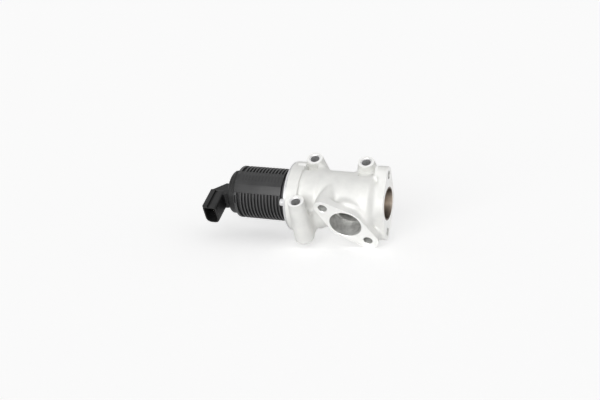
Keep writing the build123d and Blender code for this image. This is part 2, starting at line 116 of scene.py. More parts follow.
def seen_ray(tree):
    """1 for rays from the camera, off shiny faces and through glass, and 0 for diffuse light."""
    ray = tree.nodes.new("ShaderNodeLightPath")
    seen = ray.outputs["Is Camera Ray"]
    for kind in ("Is Glossy Ray", "Is Transmission Ray"):
        either = tree.nodes.new("ShaderNodeMath")
        either.operation = "MAXIMUM"
        link(tree, (seen, either.inputs[0]), (ray.outputs[kind], either.inputs[1]))
        seen = either.outputs[0]
    return seen


floor_mesh = bpy.data.meshes.new("floor")
floor_corners = [(-1, -1), (1, -1), (1, 1), (-1, 1)]
floor_mesh.from_pydata(
    [(x * floor_half, y * floor_half, floor_level) for x, y in floor_corners], [], [(0, 1, 2, 3)]
)
floor = bpy.data.objects.new("floor", floor_mesh)
bpy.context.scene.collection.objects.link(floor)
floor_paint = bpy.data.materials.new("white_sheet")
floor_paint.use_nodes = True
sheet = floor_paint.node_tree.nodes["Principled BSDF"]
sheet.inputs["Base Color"].default_value = (floor_white, floor_white, floor_white, 1)
sheet.inputs["Roughness"].default_value = floor_rough
sheet.inputs["Specular IOR Level"].default_value = 0.0
sheet.inputs["Emission Color"].default_value = (1, 1, 1, 1)
tree = floor_paint.node_tree
glow = tree.nodes.new("ShaderNodeMath")
glow.operation = "MULTIPLY"
glow.inputs[1].default_value = floor_glow
link(tree, (seen_ray(tree), glow.inputs[0]), (glow.outputs[0], sheet.inputs["Emission Strength"]))
floor_mesh.materials.append(floor_paint)

world = bpy.data.worlds.new("sky")
bpy.context.scene.world = world
world.use_nodes = True
tree = world.node_tree
level = tree.nodes.new("ShaderNodeMapRange")
level.inputs["To Min"].default_value = sky_level
level.inputs["To Max"].default_value = backdrop_level
sky = tree.nodes["Background"]
sky.inputs["Color"].default_value = (1, 1, 1, 1)
link(
    tree, (seen_ray(tree), level.inputs["Value"]), (level.outputs["Result"], sky.inputs["Strength"])
)
for name, strength, turn, softness in (
    ("key_lamp", key_strength, key_turn, key_softness),
    ("side_lamp", side_strength, side_turn, side_softness),
):
    lamp = bpy.data.objects.new(name, bpy.data.lights.new(name, "SUN"))
    lamp.data.energy = strength
    lamp.data.angle = softness
    lamp.rotation_euler = [radians(angle) for angle in turn]
    bpy.context.scene.collection.objects.link(lamp)
bpy.context.scene.view_settings.view_transform = "Standard"

# The body is an aluminium sand casting, shot-blasted all over. It leaves the mould a little proud
# of its flanges, with soft corners, and is then milled flat on both gas flanges, the joint and the
# column ends, turned at the joint flange, and bored. It is built here in that order.
cast_proud = 3 * mm
cast_grid = 0.75 * mm
cast_rounds = 22
hollow_fill = 0.7
edge_wear = 0.3
crease_angle = 32
joint_ring_r = 33.0
joint_ring_width = 11.0
joint_ring_edge = 0.5
joint_ring_rim = 2
joint_ring_root = 3
joint_ring_core_r = 31.0
rear_block_r = 29.0
rear_block_x = -62.0
barrel_r = 26.6
barrel_start_x = -59.0
barrel_end_x = -13.0
outlet_plate_r = 20.7
outlet_plate_width = 8.0
outlet_lug_r = 8.0
outlet_lug_width = 12.5
port_tube_r = 20.7
port_plate_r = 17.4
port_plate_width = 7.5
port_lug_radii = (8.4, 10.2)
port_diagonal = radians(45)
boss_root_r = 5.5
boss_root_depth = 21.0
boss_root_x = 3.2
boss_root_y = 1.8
# Each column's radius at its head and its foot, and its height
rear_column = (7.75, 7.75, 30.0)
front_column = (7.37, 9.8, 33.0)
rear_column_port = -22
front_column_port = 38
column_foot = -15
flare_root_r = 12.4
flare_root_height = 6.0
web_r = 8.5
web_root_r = 9.5
web_root_port = 14.0
web_height = 11.0
port_bore_r = 14.9
port_bore_depth = 17.0
port_throat_r = 12.6
bolt_hole_r = 4.25
bush_seat_r = 5.45
bush_seat_depth = 15.0
sleeve_seat_r = 15.6
sleeve_seat_depth = 17.5
chamber_r = 14.0
chamber_end_x = -47.0
stem_bush_r = 6.0
stem_bush_x = -62.0
spring_chamber_r = 15.5
hole_edge = 0.5
window_width = 10.0
window_depth = 8.0
window_height = 6.2
window_drop = 1.4
window_wall = 1.2
seal_groove_inner_r = 18.0
seal_groove_outer_r = 20.2
seal_groove_depth = 2.0
inlet_hole_depth = 18
outlet_hole_depth = 11
joint_face_half = 60
port_face_half = (30, 32)
column_face_half = 13
# How far cutters stand out of a face, run into each other, and lift off an edge they break
over = 6
overlap = 1
edge_lift = 0.1
outlet = mounts["outlet_bolts"]
inlet = mounts["inlet_bolts"]
port_dir = Vector(inlet["axis"]).normalized()
bolt_dir = Vector(mounts["front_column"]["axis"]).normalized()
valve_dir = Vector((1, 0, 0))
face = Vector(inlet["pos_m"]).dot(port_dir) / mm
port_x = inlet["pos_m"][0]
joint_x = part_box("valve_body")[0].x
joint = joint_x / mm
left_column_x = mounts["front_column"]["pos_m"][0] / mm
right_column_x = mounts["rear_column_right"]["pos_m"][0] / mm


def ring(centre, normal, radius, steps=96):
    """Points round a circle in space."""
    side = normal.orthogonal().normalized()
    up = normal.cross(side)
    turns = [2 * pi * step / steps for step in range(steps)]
    return [centre + radius * (cos(turn) * side + sin(turn) * up) for turn in turns]


def add_hull(mesh, points):
    """The tight skin round a set of points, as one closed solid."""
    corners = [mesh.verts.new(point) for point in points]
    made = bmesh.ops.convex_hull(mesh, input=corners)
    spare = {part for part in made["geom_interior"] + made["geom_unused"] if part in corners}
    bmesh.ops.delete(mesh, geom=list(spare), context="VERTS")


def add_lathe(mesh, outline, steps=128):
    """A turned solid about the valve axis, from its closed outline of (x, radius) points in mm."""
    turns = [2 * pi * step / steps for step in range(steps)]
    rings = []
    for x, radius in outline:
        if radius == 0:
            rings.append([mesh.verts.new((x * mm, 0, 0))])
        else:
            rings.append([
                mesh.verts.new(
                    (x * mm, radius * cos(turn) * mm, radius * sin(turn) * mm)
                ) for turn in turns
            ])
    for near, far in zip(rings, rings[1:] + rings[:1]):
        for step in range(steps):
            corners = [
                near[step % len(near)],
                near[(step + 1) % len(near)],
                far[(step + 1) % steps % len(far)],
                far[step % len(far)],
            ]
            corners = list(dict.fromkeys(corners))
            if len(corners) > 2:
                mesh.faces.new(corners)


def new_piece(name, mesh):
    """A scene object from a finished bmesh, with its faces outwards."""
    bmesh.ops.recalc_face_normals(mesh, faces=mesh.faces)
    data = bpy.data.meshes.new(name)
    mesh.to_mesh(data)
    mesh.free()
    piece = bpy.data.objects.new(name, data)
    bpy.context.scene.collection.objects.link(piece)
    return piece


def settle(piece):
    """Puts a piece's modifiers into its mesh."""
    graph = bpy.context.evaluated_depsgraph_get()
    piece.data = bpy.data.meshes.new_from_object(piece.evaluated_get(graph))
    piece.modifiers.clear()


def skin_over(piece, grid):
    """One even skin over the solids of a piece, as wax would take them."""
    skin = piece.modifiers.new("skin", "REMESH")
    skin.mode = "VOXEL"
    skin.voxel_size = grid
    settle(piece)


def soften(piece, rounds, fill, wear):
    """Rounds a remeshed skin: hollows fill with fillets, and outer edges wear down more slowly."""
    mesh = piece.data
    count = len(mesh.vertices)
    spots = np.empty(count * 3)
    mesh.vertices.foreach_get("co", spots)
    spots = spots.reshape(-1, 3)
    ends = np.empty(len(mesh.edges) * 2, int)
    mesh.edges.foreach_get("vertices", ends)
    ends = ends.reshape(-1, 2)
    degree = np.bincount(ends.ravel(), minlength=count)
    normals = np.empty(count * 3)
    for _ in range(rounds):
        pull = np.empty_like(spots)
        for axis in range(3):
            pull[:, axis] = np.bincount(ends[:, 0], spots[ends[:, 1], axis], count)
            pull[:, axis] += np.bincount(ends[:, 1], spots[ends[:, 0], axis], count)
        pull = pull / degree[:, None] - spots
        mesh.vertex_normals.foreach_get("vector", normals)
        outward = (pull * normals.reshape(-1, 3)).sum(axis=1)
        spots = spots + pull * np.where(outward > 0, fill, wear)[:, None]
        mesh.vertices.foreach_set("co", spots.ravel())
        mesh.update()


def carve(piece, tools, operation="DIFFERENCE"):
    """Cuts shapes out of a piece, or welds them on. New faces keep the tool's material."""
    for tool in tools:
        cut = piece.modifiers.new("cut", "BOOLEAN")
        cut.operation = operation
        cut.solver = "MANIFOLD"
        cut.material_mode = "TRANSFER"
        cut.object = tool
    settle(piece)
    for tool in tools:
        bpy.data.objects.remove(tool)


def smooth_faces(piece, limit=crease_angle):
    """Smooth shading, with every edge sharper than the limit kept crisp."""
    piece.data.shade_smooth()
    piece.data.set_sharp_from_angle(angle=radians(limit))


def port_point(x, y, distance):
    """A point from the port's axis: along the valve, along the bolts, then out along the port."""
    return Vector((port_x + x * mm, 0, 0)) + bolt_dir * y * mm + port_dir * distance * mm


def column_point(x, port, height):
    """A point by its place along the valve, along the port and along the bolts."""
    return Vector((x * mm, 0, 0)) + port_dir * port * mm + bolt_dir * height * mm


def shader_group(name, inputs, outputs):
    """An empty group of shader nodes with its named sockets. Each input is (name, value)."""
    made = bpy.data.node_groups.new(name, "ShaderNodeTree")
    for title, value in inputs:
        socket = made.interface.new_socket(title, in_out="INPUT", socket_type="NodeSocketFloat")
        socket.default_value = value
    for title, kind in outputs:
        made.interface.new_socket(title, in_out="OUTPUT", socket_type=kind)
    return made, made.nodes.new("NodeGroupInput"), made.nodes.new("NodeGroupOutput")


noise_low = 0.3
noise_high = 0.7

# Grain: fine relief at one size and slow blotches at another, both from 0 to 1
grain, given, out = shader_group(
    "grain",
    (("Grain Size", 0.5 * mm), ("Blotch Size", 12 * mm)),
    (("Height", "NodeSocketFloat"), ("Blotch", "NodeSocketFloat")),
)
where = grain.nodes.new("ShaderNodeTexCoord")
for size, output, detail in (("Grain Size", "Height", 3), ("Blotch Size", "Blotch", 2)):
    per_size = grain.nodes.new("ShaderNodeMath")
    per_size.operation = "DIVIDE"
    per_size.inputs[0].default_value = 1
    noise = grain.nodes.new("ShaderNodeTexNoise")
    noise.inputs["Detail"].default_value = detail
    spread = grain.nodes.new("ShaderNodeMapRange")
    spread.inputs["From Min"].default_value = noise_low
    spread.inputs["From Max"].default_value = noise_high
    link(
        grain,
        (given.outputs[size], per_size.inputs[1]),
        (where.outputs["Object"], noise.inputs["Vector"]),
        (per_size.outputs[0], noise.inputs["Scale"]),
        (noise.outputs["Fac"], spread.inputs["Value"]),
        (spread.outputs["Result"], out.inputs[output]),
    )


def axis_distance(tree, where):
    """The distance from the valve axis, as a socket."""
    across = tree.nodes.new("ShaderNodeVectorMath")
    across.operation = "MULTIPLY"
    across.inputs[1].default_value = (0, 1, 1)
    radius = tree.nodes.new("ShaderNodeVectorMath")
    radius.operation = "LENGTH"
    link(tree, (where.outputs["Object"], across.inputs[0]), (across.outputs[0], radius.inputs[0]))
    return radius.outputs["Value"]


# Turning: the fine rings that a lathe tool leaves about the valve axis, on faces and on rounds
turning, given, out = shader_group(
    "turning", (("Pitch", 0.6 * mm),), (("Height", "NodeSocketFloat"),)
)
where = turning.nodes.new("ShaderNodeTexCoord")
part = turning.nodes.new("ShaderNodeSeparateXYZ")
travel = turning.nodes.new("ShaderNodeMath")
travel.operation = "ADD"
turns = turning.nodes.new("ShaderNodeMath")
turns.operation = "DIVIDE"
angle = turning.nodes.new("ShaderNodeMath")
angle.operation = "MULTIPLY"
angle.inputs[1].default_value = 2 * pi
wave = turning.nodes.new("ShaderNodeMath")
wave.operation = "SINE"
level = turning.nodes.new("ShaderNodeMath")
level.operation = "MULTIPLY_ADD"
level.inputs[1].default_value = 0.5
level.inputs[2].default_value = 0.5
link(
    turning,
    (where.outputs["Object"], part.inputs[0]),
    (part.outputs["X"], travel.inputs[0]),
    (axis_distance(turning, where), travel.inputs[1]),
    (travel.outputs[0], turns.inputs[0]),
    (given.outputs["Pitch"], turns.inputs[1]),
    (turns.outputs[0], angle.inputs[0]),
    (angle.outputs[0], wave.inputs[0]),
    (wave.outputs[0], level.inputs[0]),
    (level.outputs[0], out.inputs["Height"]),
)


def finish(
    name, dark, light, rough, metallic, grain_size, blotch_size, depth, pitch=0, ring_depth=0
):
    """A material with grain, blotches between two colours, and turning rings if it has a pitch."""
    made = bpy.data.materials.new(name)
    made.use_nodes = True
    tree = made.node_tree
    shader = tree.nodes["Principled BSDF"]
    shader.inputs["Metallic"].default_value = metallic
    marks = tree.nodes.new("ShaderNodeGroup")
    marks.node_tree = grain
    marks.inputs["Grain Size"].default_value = grain_size * mm
    marks.inputs["Blotch Size"].default_value = blotch_size * mm
    colour = tree.nodes.new("ShaderNodeMix")
    colour.data_type = "RGBA"
    colour.inputs["A"].default_value = (*dark, 1)
    colour.inputs["B"].default_value = (*light, 1)
    gloss = tree.nodes.new("ShaderNodeMapRange")
    gloss.inputs["To Min"].default_value = rough[0]
    gloss.inputs["To Max"].default_value = rough[1]
    bump = tree.nodes.new("ShaderNodeBump")
    bump.inputs["Distance"].default_value = depth * mm
    link(
        tree,
        (marks.outputs["Blotch"], colour.inputs["Factor"]),
        (marks.outputs["Height"], gloss.inputs["Value"]),
        (colour.outputs["Result"], shader.inputs["Base Color"]),
        (gloss.outputs["Result"], shader.inputs["Roughness"]),
        (marks.outputs["Height"], bump.inputs["Height"]),
        (bump.outputs["Normal"], shader.inputs["Normal"]),
    )
    if pitch:
        rings = tree.nodes.new("ShaderNodeGroup")
        rings.node_tree = turning
        rings.inputs["Pitch"].default_value = pitch * mm
        cut_bump = tree.nodes.new("ShaderNodeBump")
        cut_bump.inputs["Distance"].default_value = ring_depth * mm
        link(
            tree,
            (rings.outputs["Height"], cut_bump.inputs["Height"]),
            (cut_bump.outputs["Normal"], bump.inputs["Normal"]),
        )
    return made


def paint(node, material):
    """Gives a CAD node its finish."""
    for place in nodes[node].material_slots:
        place.material = material


# As cast, as milled, and greyed by the exhaust gas in the ports; the same grey is painted into the
# inlet bolt holes as painted shade
cast_alloy = finish(
    "cast_alloy", dark=(0.745, 0.745, 0.725), light=(0.82, 0.82, 0.795), rough=(0.42, 0.62),
    metallic=0.2, grain_size=0.6, blotch_size=12, depth=0.07,
)
milled_alloy = finish(
    "milled_alloy", dark=(0.88, 0.88, 0.86), light=(0.93, 0.93, 0.915), rough=(0.30, 0.42),
    metallic=0.6, grain_size=0.35, blotch_size=9, depth=0.01,
)
gas_stained_and_shaded_alloy = finish(
    "gas_stained_and_shaded_alloy", dark=(0.40, 0.40, 0.385), light=(0.70, 0.70, 0.68), rough=(0.4, 0.6),
    metallic=0.3, grain_size=0.5, blotch_size=6, depth=0.04,
)

lug_shift = inlet["dims"]["pcd_mm"] / 2 * cos(port_diagonal)
port_lugs = [
    (side * lug_shift, -side * lug_shift, radius) for side, radius in zip((-1, 1), port_lug_radii)
]
outlet_lug = outlet["dims"]["pcd_mm"] / 2
columns = [
    (left_column_x, rear_column_port, *rear_column),
    (right_column_x, rear_column_port, *rear_column),
    (left_column_x, front_column_port, *front_column),
]

casting = bmesh.new()
proud = cast_proud / mm
for ends in (
    ((joint - proud, joint_ring_core_r), (joint + joint_ring_width, joint_ring_core_r)),
    ((joint, rear_block_r), (rear_block_x, rear_block_r)),
    ((rear_block_x, rear_block_r), (barrel_start_x, barrel_r)),
    ((rear_block_x, barrel_r), (barrel_end_x, barrel_r)),
    ((barrel_end_x, barrel_r), (-outlet_plate_width, outlet_plate_r)),
    ((-outlet_plate_width, outlet_plate_r), (proud, outlet_plate_r)),
):
    add_hull(casting, [
        point
        for x, radius in ends
        for point in ring(valve_dir * x * mm, valve_dir, radius * mm, steps=160)
    ])
outlet_points = []
for x in (-outlet_plate_width, proud):
    outlet_points += ring(valve_dir * x * mm, valve_dir, outlet_plate_r * mm)
    for side in (-1, 1):
        outlet_points += ring(Vector((x, 0, side * outlet_lug)) * mm, valve_dir, outlet_lug_r * mm)
add_hull(casting, outlet_points)
for side in (-1, 1):
    add_hull(casting, [
        point
        for x in (-outlet_lug_width, proud)
        for point in ring(Vector((x, 0, side * outlet_lug)) * mm, valve_dir, outlet_lug_r * mm)
    ])
plate_back = face - port_plate_width
add_hull(casting, [
    point
    for distance in (0, plate_back)
    for point in ring(port_point(0, 0, distance), port_dir, port_tube_r * mm, steps=128)
])
plate_points = []
for distance in (plate_back, face + proud):
    plate_points += ring(port_point(0, 0, distance), port_dir, port_plate_r * mm, steps=128)
    for x, y, radius in port_lugs:
        plate_points += ring(port_point(x, y, distance), port_dir, radius * mm)
add_hull(casting, plate_points)
for x, y, radius in port_lugs:
    side = 1 if x > 0 else -1
    root = port_point(x - side * boss_root_x, y - side * boss_root_y, plate_back - boss_root_depth)
    tip = ring(port_point(x, y, plate_back), port_dir, radius * mm)
    add_hull(casting, ring(root, port_dir, boss_root_r * mm) + tip)
for x, port, radius, foot_radius, top in columns:
    add_hull(
        casting,
        ring(column_point(x, port, column_foot), bolt_dir, foot_radius * mm)
        + ring(column_point(x, port, top + proud), bolt_dir, radius * mm),
    )
for x, port, radius, foot_radius, top in columns[:2]:
    add_hull(
        casting,
        ring(column_point(x, port, flare_root_height), bolt_dir, flare_root_r * mm)
        + ring(column_point(x, port, top), bolt_dir, radius * mm),
    )
web_points = []
for height in (column_foot, web_height):
    for port, radius in ((front_column_port, web_r), (web_root_port, web_root_r)):
        web_points += ring(column_point(left_column_x, port, height), bolt_dir, radius * mm)
add_hull(casting, web_points)
body = new_piece("cast_body", casting)
skin_over(body, cast_grid)
soften(body, cast_rounds, hollow_fill, edge_wear)
body.data.materials.append(cast_alloy)


def turned_tool(outline, material, steps=128):
    """A turned cutter or blank about the valve axis."""
    shape = bmesh.new()
    add_lathe(shape, outline, steps)
    made = new_piece("tool", shape)
    made.data.materials.append(material)
    return made


def hull_tool(points, material):
    """A cutter from the points of its hull."""
    shape = bmesh.new()
    add_hull(shape, points)
    made = new_piece("tool", shape)
    made.data.materials.append(material)
    return made


def bore(start, end, radius, material, steps=96, start_radius=None):
    """A round cutter from one point to another, wider at its start for an edge break."""
    along = (end - start).normalized()
    first = ring(start, along, (start_radius or radius) * mm, steps)
    return hull_tool(first + ring(end, along, radius * mm, steps), material)


def slab(origin, normal, side, half_side, half_up):
    """A milling cutter: a block that takes off what stands proud of a face."""
    up = normal.cross(side)
    corners = [
        origin + side * a * half_side * mm + up * b * half_up * mm + normal * depth * mm
        for a in (-1, 1)
        for b in (-1, 1)
        for depth in (0, over)
    ]
    return hull_tool(corners, milled_alloy)


ring_front = joint + joint_ring_width
carve(
    body,
    [turned_tool([
        (joint - overlap, joint_ring_r - joint_ring_rim),
        (joint - overlap, joint_ring_r),
        (ring_front - joint_ring_edge, joint_ring_r),
        (ring_front, joint_ring_r - joint_ring_edge),
        (ring_front, rear_block_r - joint_ring_root),
        (joint - overlap, rear_block_r - joint_ring_root),
    ], cast_alloy, steps=192)],
    "UNION",
)
tools = [
    slab(Vector((0, 0, 0)), valve_dir, bolt_dir, joint_face_half, joint_face_half),
    slab(valve_dir * joint_x, -valve_dir, bolt_dir, joint_face_half, joint_face_half),
    slab(port_point(0, 0, face), port_dir, valve_dir, *port_face_half),
    bore(
        valve_dir * over * mm, valve_dir * -sleeve_seat_depth * mm, sleeve_seat_r, milled_alloy,
        steps=128,
    ),
    bore(
        valve_dir * (overlap - sleeve_seat_depth) * mm, valve_dir * chamber_end_x * mm, chamber_r,
        gas_stained_and_shaded_alloy, steps=128,
    ),
    bore(
        valve_dir * (chamber_end_x + overlap) * mm, valve_dir * (stem_bush_x - overlap) * mm,
        stem_bush_r, milled_alloy,
    ),
    bore(
        valve_dir * stem_bush_x * mm, valve_dir * (joint - over) * mm, spring_chamber_r,
        milled_alloy, steps=128,
    ),
    bore(
        port_point(0, 0, face + over), port_point(0, 0, face - port_bore_depth), port_bore_r,
        gas_stained_and_shaded_alloy, steps=128,
    ),
    bore(port_point(0, 0, face), port_point(0, 0, 0), port_throat_r, gas_stained_and_shaded_alloy, steps=128),
    bore(
        port_point(0, 0, face + edge_lift), port_point(0, 0, face - hole_edge), port_bore_r,
        milled_alloy, steps=128, start_radius=port_bore_r + hole_edge,
    ),
    turned_tool([
        (joint - over, seal_groove_inner_r),
        (joint - over, seal_groove_outer_r),
        (joint + seal_groove_depth, seal_groove_outer_r),
        (joint + seal_groove_depth, seal_groove_inner_r),
    ], milled_alloy),
]
# The inlet bolt holes take the gas-stained grey as painted shade inside the holes.
for x, y, radius in port_lugs:
    hole_end = port_point(x, y, face - inlet_hole_depth)
    tools.append(bore(port_point(x, y, face + over), hole_end, bolt_hole_r, gas_stained_and_shaded_alloy))
    tools.append(bore(
        port_point(x, y, face + edge_lift), port_point(x, y, face - hole_edge), bolt_hole_r,
        milled_alloy, start_radius=bolt_hole_r + hole_edge,
    ))
for side in (-1, 1):
    spot = Vector((0, 0, side * outlet_lug)) * mm
    hole_end = spot - valve_dir * outlet_hole_depth * mm
    tools.append(
        bore(spot + valve_dir * over * mm, hole_end, outlet["dims"]["hole_r_mm"], milled_alloy)
    )
for x, port, radius, foot_radius, top in columns:
    head = column_point(x, port, top)
    foot = column_point(x, port, column_foot)
    tools.append(slab(head, bolt_dir, valve_dir, column_face_half, column_face_half))
    mouth = head + bolt_dir * over * mm
    tools.append(bore(mouth, foot - bolt_dir * over * mm, bolt_hole_r, milled_alloy))
    tools.append(bore(mouth, head - bolt_dir * bush_seat_depth * mm, bush_seat_r, milled_alloy))
for x, port, radius, foot_radius, top in columns[:2]:
    window_port = port + bush_seat_r + window_wall + window_depth / 2
    centre = column_point(x, window_port, top - window_drop - window_height / 2)
    tools.append(hull_tool([
        centre + (valve_dir * a + port_dir * b + bolt_dir * c) / 2 * mm
        for a in (-window_width, window_width)
        for b in (-window_depth, window_depth)
        for c in (-window_height, window_height)
    ], cast_alloy))

# Tapped holes for the base plate's screws, drilled with the joint face
screw_circle_r = 28.8
screw_count = 3
screw_r = 2.0
screw_depth = 8.0
screw_turn = radians(180)
screw_spots = []
for index in range(screw_count):
    turn = screw_turn + 2 * pi * index / screw_count
    screw_spots.append(Vector((joint, screw_circle_r * cos(turn), screw_circle_r * sin(turn))) * mm)
for spot in screw_spots:
    hole_end = spot + valve_dir * screw_depth * mm
    tools.append(bore(spot - valve_dir * over * mm, hole_end, screw_r, milled_alloy, steps=48))
carve(body, tools)
smooth_faces(body)
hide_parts("valve_body")
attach(body, "valve_housing")

# The seat sleeve, poppet, stem and deflector are turned stainless steel. Hot gas has stained them
# from straw to brown, with soot in blotches, more so towards the gas chamber. Away from the axis,
# up and down, they also darken towards the soot colour as painted shade.
stain_start_x = 0.0
stain_end_x = -30.0
stain_colours = ((0.0, (0.72, 0.62, 0.52)), (0.4, (0.46, 0.36, 0.28)), (1.0, (0.12, 0.09, 0.075)))
soot_and_shade_colour = (0.075, 0.06, 0.05)
painted_shade_start = 3.5
painted_shade_full = 11.0
soot_blotches = 0.3
painted_shade_most = 0.7
stain_rough = (0.32, 0.62)
stain_metallic = 0.6
stain_grain = 0.8
stain_blotch = 7
stain_pitch = 0.5
stain_ring_depth = 0.015
stained_steel = bpy.data.materials.new("heat_stained_steel")
stained_steel.use_nodes = True
tree = stained_steel.node_tree
shader = tree.nodes["Principled BSDF"]
shader.inputs["Metallic"].default_value = stain_metallic
where = tree.nodes.new("ShaderNodeTexCoord")
part = tree.nodes.new("ShaderNodeSeparateXYZ")
along = tree.nodes.new("ShaderNodeMapRange")
along.inputs["From Min"].default_value = stain_start_x * mm
along.inputs["From Max"].default_value = stain_end_x * mm
stain = tree.nodes.new("ShaderNodeValToRGB")
stops = stain.color_ramp.elements
for place, (position, colour) in enumerate(stain_colours):
    stop = stops[place] if place < 2 else stops.new(position)
    stop.position = position
    stop.color = (*colour, 1)
marks = tree.nodes.new("ShaderNodeGroup")
marks.node_tree = grain
marks.inputs["Grain Size"].default_value = stain_grain * mm
marks.inputs["Blotch Size"].default_value = stain_blotch * mm
soot_and_shade = tree.nodes.new("ShaderNodeMix")
soot_and_shade.data_type = "RGBA"
soot_and_shade.inputs["B"].default_value = (*soot_and_shade_colour, 1)
soot_and_shade_share = tree.nodes.new("ShaderNodeMath")
soot_and_shade_share.operation = "MULTIPLY_ADD"
soot_and_shade_share.use_clamp = True
soot_and_shade_share.inputs[1].default_value = soot_blotches
# Painted shade: the colour darkens towards the soot colour with height above and below the axis,
# leaving a lighter band across the middle.
height = tree.nodes.new("ShaderNodeMath")
height.operation = "ABSOLUTE"
painted_shade_by_height = tree.nodes.new("ShaderNodeMapRange")
painted_shade_by_height.inputs["From Min"].default_value = painted_shade_start * mm
painted_shade_by_height.inputs["From Max"].default_value = painted_shade_full * mm
painted_shade_by_height.inputs["To Max"].default_value = painted_shade_most
gloss = tree.nodes.new("ShaderNodeMapRange")
gloss.inputs["To Min"].default_value = stain_rough[0]
gloss.inputs["To Max"].default_value = stain_rough[1]
rings = tree.nodes.new("ShaderNodeGroup")
rings.node_tree = turning
rings.inputs["Pitch"].default_value = stain_pitch * mm
bump = tree.nodes.new("ShaderNodeBump")
bump.inputs["Distance"].default_value = stain_ring_depth * mm
link(
    tree,
    (where.outputs["Object"], part.inputs[0]),
    (part.outputs["X"], along.inputs["Value"]),
    (along.outputs["Result"], stain.inputs["Fac"]),
    (stain.outputs["Color"], soot_and_shade.inputs["A"]),
    (marks.outputs["Blotch"], soot_and_shade_share.inputs[0]),
    (part.outputs["Z"], height.inputs[0]),
    (height.outputs[0], painted_shade_by_height.inputs["Value"]),
    (painted_shade_by_height.outputs["Result"], soot_and_shade_share.inputs[2]),
    (soot_and_shade_share.outputs[0], soot_and_shade.inputs["Factor"]),
    (soot_and_shade.outputs["Result"], shader.inputs["Base Color"]),
    (marks.outputs["Height"], gloss.inputs["Value"]),
    (gloss.outputs["Result"], shader.inputs["Roughness"]),
    (rings.outputs["Height"], bump.inputs["Height"]),
    (bump.outputs["Normal"], shader.inputs["Normal"]),
)
for node in ("seat_sleeve", "deflector_cup", "poppet", "valve_stem"):
    paint(node, stained_steel)

# Plain steel bushes line the bolt columns, and a bronze one guides the stem. All are turned and
# pressed in.
bright_steel = finish(
    "zinc_steel", dark=(0.66, 0.66, 0.665), light=(0.78, 0.78, 0.785), rough=(0.24, 0.38),
    metallic=0.75, grain_size=0.4, blotch_size=6, depth=0.008, pitch=0.45, ring_depth=0.012,
)
bronze = finish(
    "bush_bronze", dark=(0.58, 0.41, 0.21), light=(0.70, 0.52, 0.29), rough=(0.3, 0.45),
    metallic=1.0, grain_size=0.4, blotch_size=5, depth=0.01, pitch=0.5, ring_depth=0.01,
)
for node in ("column_bushes", "spring_keeper", "sensor_plunger"):
    paint(node, bright_steel)
for node in ("stem_bush", "guide_sleeve", "sensor_wiper"):
    paint(node, bronze)

# The return spring is drawn wire with a dull blued surface. It stands on the bush's end of its
# chamber.
weld_distance = 0.001 * mm
spring_steel = finish(
    "spring_steel", dark=(0.33, 0.34, 0.37), light=(0.47, 0.47, 0.50), rough=(0.35, 0.5),
    metallic=0.95, grain_size=0.25, blotch_size=4, depth=0.01,
)
wire = bmesh.new()
wire.from_mesh(nodes["return_spring"].data)
bmesh.ops.remove_doubles(wire, verts=wire.verts, dist=weld_distance)
spring = new_piece("coiled_return_spring", wire)
spring.data.materials.append(spring_steel)
smooth_faces(spring)
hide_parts("return_spring")
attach(spring, "valve_housing")
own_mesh(spring)

# The base plate is pressed from zinc-plated steel. It closes the joint flange and carries the
# solenoid. Its rim is rolled over, with a fine line round it and a shallow step in front.
plate_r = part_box("base_plate")[1].z / mm
plate_back_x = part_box("base_plate")[0].x / mm
plate_roll = 0.6
round_share = 0.3
plate_step_width = 0.6
plate_step_depth = 0.8
plate_line_start = 1.1
plate_line_width = 0.3
plate_line_depth = 0.5
plate_bore_r = 12.0
plate_front_x = joint
plate_tool = bmesh.new()
add_lathe(plate_tool, [
    (plate_back_x, plate_bore_r),
    (plate_back_x, plate_r - plate_roll),
    (plate_back_x + round_share * plate_roll, plate_r - round_share * plate_roll),
    (plate_back_x + plate_roll, plate_r),
    (plate_back_x + plate_line_start, plate_r),
    (plate_back_x + plate_line_start, plate_r - plate_line_depth),
    (plate_back_x + plate_line_start + plate_line_width, plate_r - plate_line_depth),
    (plate_back_x + plate_line_start + plate_line_width, plate_r),
    (plate_front_x - plate_step_width, plate_r),
    (plate_front_x - plate_step_width, plate_r - plate_step_depth),
    (plate_front_x, plate_r - plate_step_depth),
    (plate_front_x, plate_bore_r),
], steps=192)
base_plate = new_piece("pressed_base_plate", plate_tool)
base_plate.data.materials.append(bright_steel)
carve(base_plate, [
    bore(
        spot + valve_dir * over * mm, spot - valve_dir * over * mm, screw_r, bright_steel, steps=48
    )
    for spot in screw_spots
])
smooth_faces(base_plate)
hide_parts("base_plate")
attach(base_plate, "valve_housing")

# Three socket-head screws hold the base plate. They are cold-formed and zinc-plated, with a
# rounded head edge and a hexagon socket.
head_r = 3.4
head_height = 3.4
head_round = 0.5
socket_r = 1.5
socket_depth = 1.8
shank_end = 10.5


def geometry_tree(name, inputs):
    """A Geometry Nodes tree with its named inputs, each (name, socket kind)."""
    made = bpy.data.node_groups.new(name, "GeometryNodeTree")
    made.interface.new_socket("Geometry", in_out="INPUT", socket_type="NodeSocketGeometry")
    for title, kind in inputs:
        made.interface.new_socket(title, in_out="INPUT", socket_type=kind)
    made.interface.new_socket("Geometry", in_out="OUTPUT", socket_type="NodeSocketGeometry")
    return made, made.nodes.new("NodeGroupInput"), made.nodes.new("NodeGroupOutput")


def run_tree(piece, tree, **values):
    """Runs a tree on a piece with the given inputs, and keeps the plain mesh."""
    runner = piece.modifiers.new(tree.name, "NODES")
    runner.node_group = tree
    for socket in tree.interface.items_tree:
        if socket.in_out == "INPUT" and socket.name in values:
            runner[socket.identifier] = values[socket.name]
    settle(piece)


